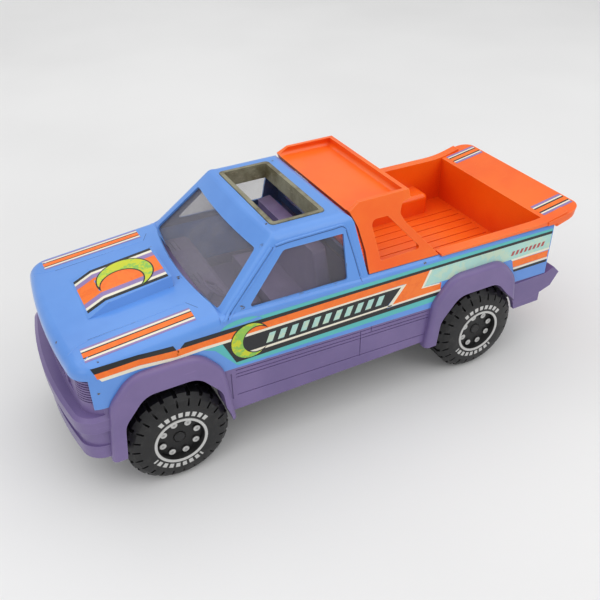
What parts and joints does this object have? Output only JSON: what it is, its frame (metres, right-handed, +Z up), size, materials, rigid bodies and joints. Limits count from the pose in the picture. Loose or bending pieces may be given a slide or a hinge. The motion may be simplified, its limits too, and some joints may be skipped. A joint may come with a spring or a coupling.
{
  "type": "toy pickup truck",
  "caption": "Toy pickup truck with a pressed-steel body, moulded lower body, open load bed with spoiler, tray-topped roll bar, clear glazing, rolling wheels and a pull-back motor.",
  "frame": {"origin": "on the ground under the middle of the truck's length and width", "axes": "+X towards the front bumper, +Y to the truck's left side, +Z up"},
  "size_m": [0.24, 0.0892, 0.0994],
  "materials": {
    "blue_steel": "glossy baked enamel on pressed steel, lightly chipped at the edges",
    "purple_plastic": "moulded polypropylene, soft gloss",
    "orange_plastic": "moulded polypropylene, soft gloss",
    "clear_plastic": "clear moulded styrene, slightly smoky and scratched",
    "aged_clear_plastic": "thick edge of the clear moulding, yellowed and scuffed",
    "interior_plastic": "moulded plastic, dusty",
    "black_plastic": "moulded black plastic",
    "bright_steel": "drawn and zinc plated steel",
    "motor_plastic": "moulded nylon",
    "spring_steel": "blued spring steel",
    "cap_plastic": "black push-on caps",
    "tyre_plastic": "black moulding with a silver hot-stamped ring and bolt heads",
    "gear_plastic": "natural acetal",
    "sticker_black": "printed label, black ink",
    "sticker_white": "printed label, off-white ink",
    "sticker_orange": "printed label, orange ink",
    "sticker_purple": "printed label, purple ink",
    "sticker_teal": "printed label, teal ink",
    "sticker_pale": "printed label, pale teal ink",
    "sticker_yellow": "printed label, yellow-green ink",
    "sticker_red": "printed label, dull red ink"
  },
  "bodies": {
    "body": {"body_shell": "blue_steel", "lower_body": "purple_plastic", "bed_liner": "orange_plastic", "roll_bar": "orange_plastic", "cab_glazing": "clear_plastic", "sunroof_rim": "aged_clear_plastic", "interior_tub": "interior_plastic", "dashboard": "interior_plastic", "steering_wheel": "interior_plastic", "bench_seat": "interior_plastic", "underframe": "black_plastic", "frame_screws": "bright_steel", "motor_case_left": "motor_plastic", "motor_case_right": "motor_plastic", "idler_pin": "bright_steel", "drum_pin": "bright_steel", "mainspring": "spring_steel"},
    "front_axle_set": {"front_axle": "bright_steel", "front_axle_caps": "cap_plastic", "front_left_wheel": "tyre_plastic", "front_right_wheel": "tyre_plastic"},
    "rear_axle_set": {"rear_axle": "bright_steel", "rear_axle_caps": "cap_plastic", "rear_left_wheel": "tyre_plastic", "rear_right_wheel": "tyre_plastic", "axle_pinion": "gear_plastic"},
    "motor_idler": {"idler_gear": "gear_plastic"},
    "motor_drum": {"spring_drum": "gear_plastic"}
  },
  "joints": [
    {"name": "front_axle_spin", "type": "hinge", "parent": "body", "child": "front_axle_set", "pos_m": [0.0795, 0, 0.02125], "axis": [0, 1, 0], "continuous": true},
    {"name": "rear_axle_spin", "type": "hinge", "parent": "body", "child": "rear_axle_set", "pos_m": [-0.0675, 0, 0.02125], "axis": [0, 1, 0], "continuous": true},
    {"name": "idler_spin", "type": "hinge", "parent": "body", "child": "motor_idler", "pos_m": [-0.0565, 0, 0.02739], "axis": [0, 1, 0], "continuous": true},
    {"name": "drum_spin", "type": "hinge", "parent": "body", "child": "motor_drum", "pos_m": [-0.0423, 0, 0.02359], "axis": [0, 1, 0], "continuous": true}
  ],
  "couplings": [
    {"joint": "idler_spin", "follows": "rear_axle_spin", "ratio": -0.5},
    {"joint": "drum_spin", "follows": "rear_axle_spin", "ratio": 0.15625}
  ]
}
